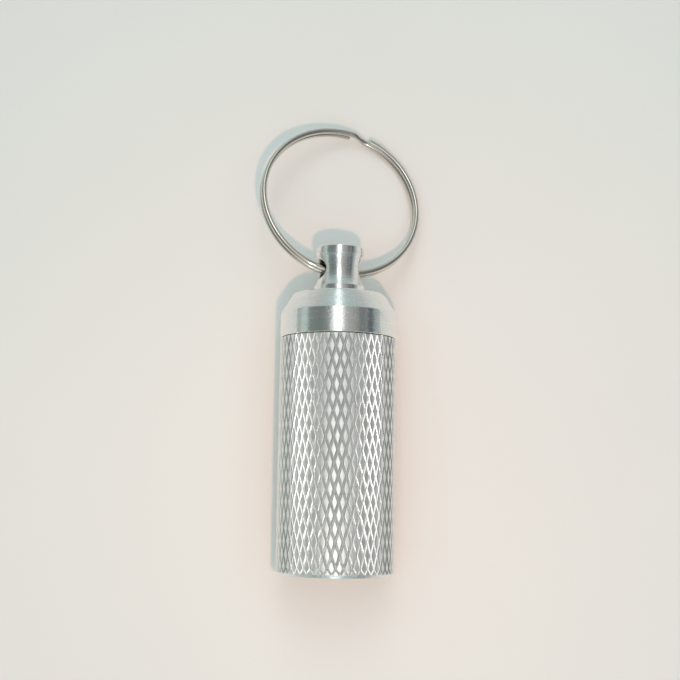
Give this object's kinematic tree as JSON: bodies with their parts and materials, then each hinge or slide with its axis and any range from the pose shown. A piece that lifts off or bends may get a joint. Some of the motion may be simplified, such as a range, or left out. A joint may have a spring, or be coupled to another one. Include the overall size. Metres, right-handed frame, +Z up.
{
  "type": "pill fob keychain",
  "caption": "Small knurled metal tube with a screw cap, a rubber seal and a split ring through the cap's neck, lying on its side.",
  "frame": {"origin": "centre of the bounding box's base: on the surface that the tube lies on, under the tube's axis, midway between the tube's closed end and the far side of the ring", "axes": "+Y along the tube's axis from its closed end to the cap and the ring, +Z up from the surface, +X to the right seen from the closed end"},
  "size_m": [0.0246, 0.0688, 0.0173],
  "materials": {
    "tube_aluminium": "machined and diamond knurled, bright flat tops and satin grooves",
    "cap_aluminium": "turned, with fine lathe lines, small pits and light scratches",
    "seal_rubber": "smooth matt black rubber",
    "ring_nickel": "nickel-plated steel wire, polished"
  },
  "bodies": {
    "tube": {"tube": "tube_aluminium"},
    "seal": {"o_ring": "seal_rubber"},
    "cap": {"cap": "cap_aluminium"},
    "ring": {"split_ring": "ring_nickel"}
  },
  "joints": [
    {"name": "cap_travel", "type": "slide", "parent": "tube", "child": "seal", "axis": [0, 1, 0], "range_m": [0, 0.00801]},
    {"name": "cap_turn", "type": "hinge", "parent": "seal", "child": "cap", "pos_m": [0, 0.00029, 0.00865], "axis": [0, 1, 0], "range_deg": [0, 2880]},
    {"name": "ring_swing", "type": "hinge", "parent": "cap", "child": "ring", "pos_m": [0, 0.01069, 0.00865], "axis": [0.9537, 0, -0.3007], "range_deg": [-140.5, 169.4]}
  ],
  "couplings": [
    {"joint": "cap_travel", "follows": "cap_turn", "m_per_rad": 0.00015915}
  ]
}
